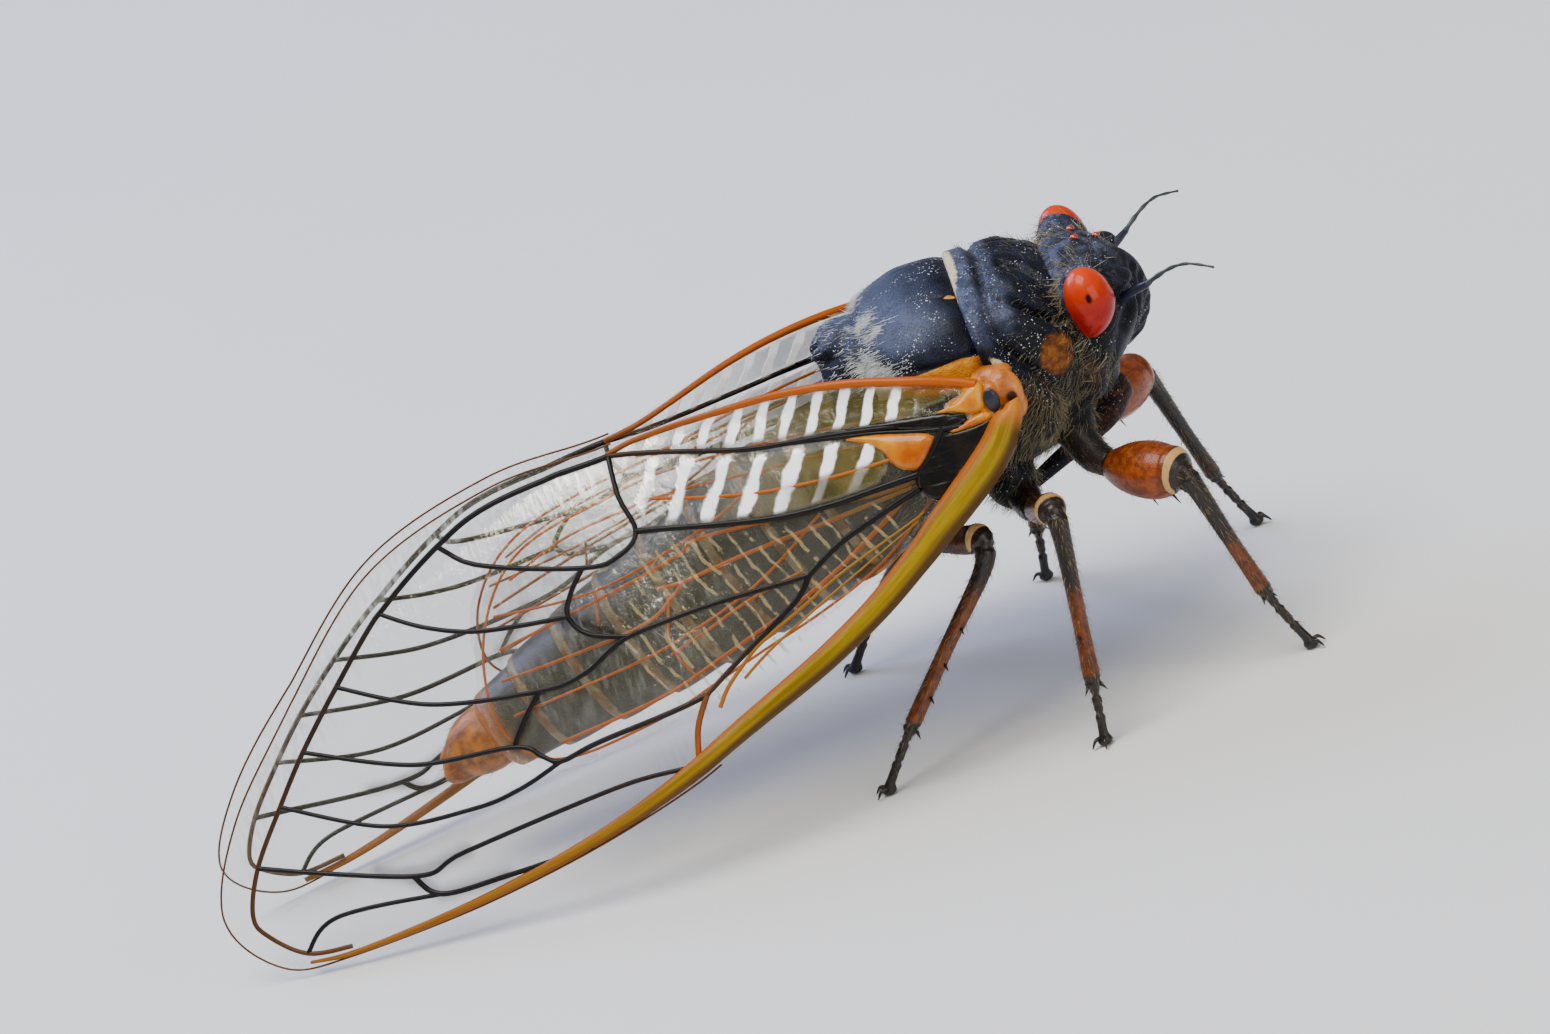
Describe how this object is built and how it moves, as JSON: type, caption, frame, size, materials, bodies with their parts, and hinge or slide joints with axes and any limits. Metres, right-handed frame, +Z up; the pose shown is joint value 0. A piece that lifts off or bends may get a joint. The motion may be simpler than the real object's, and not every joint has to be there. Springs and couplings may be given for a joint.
{
  "type": "cicada",
  "caption": "Life-size model of a periodical cicada at rest, standing on its feet, with bulging eyes, swollen front thighs and veined wings folded like a roof over the abdomen",
  "frame": {"origin": "centre of the bottom of the bounding box, on the floor under the middle of the insect", "axes": "+X forward from the abdomen to the head, +Y to the insect's left, +Z up"},
  "size_m": [0.0426, 0.0178, 0.0167],
  "materials": {
    "cuticle": "blue-black cuticle, satin, sculpted",
    "eye": "bright red, glossy",
    "amber": "orange, satin",
    "wing": "clear membrane, glossy, with orange and dark veins",
    "leg": "dark brown to orange-red, finely haired"
  },
  "bodies": {
    "root": {"head": "cuticle", "eye_left": "eye", "eye_right": "eye", "antenna_left": "cuticle", "antenna_right": "cuticle", "rostrum": "cuticle", "pronotum": "cuticle", "mesonotum": "cuticle", "thorax_underside": "cuticle", "abdomen": "cuticle", "abdomen_tip": "amber", "forewing_left": "wing", "forewing_right": "wing", "hindwing_left": "wing", "hindwing_right": "wing", "wing_root_left": "amber", "wing_root_right": "amber", "femur_front_left": "amber", "femur_front_right": "amber", "tibia_front_left": "leg", "tibia_front_right": "leg", "femur_middle_left": "leg", "femur_middle_right": "leg", "tibia_middle_left": "leg", "tibia_middle_right": "leg", "femur_hind_left": "leg", "femur_hind_right": "leg", "tibia_hind_left": "leg", "tibia_hind_right": "leg"}
  },
  "joints": []
}
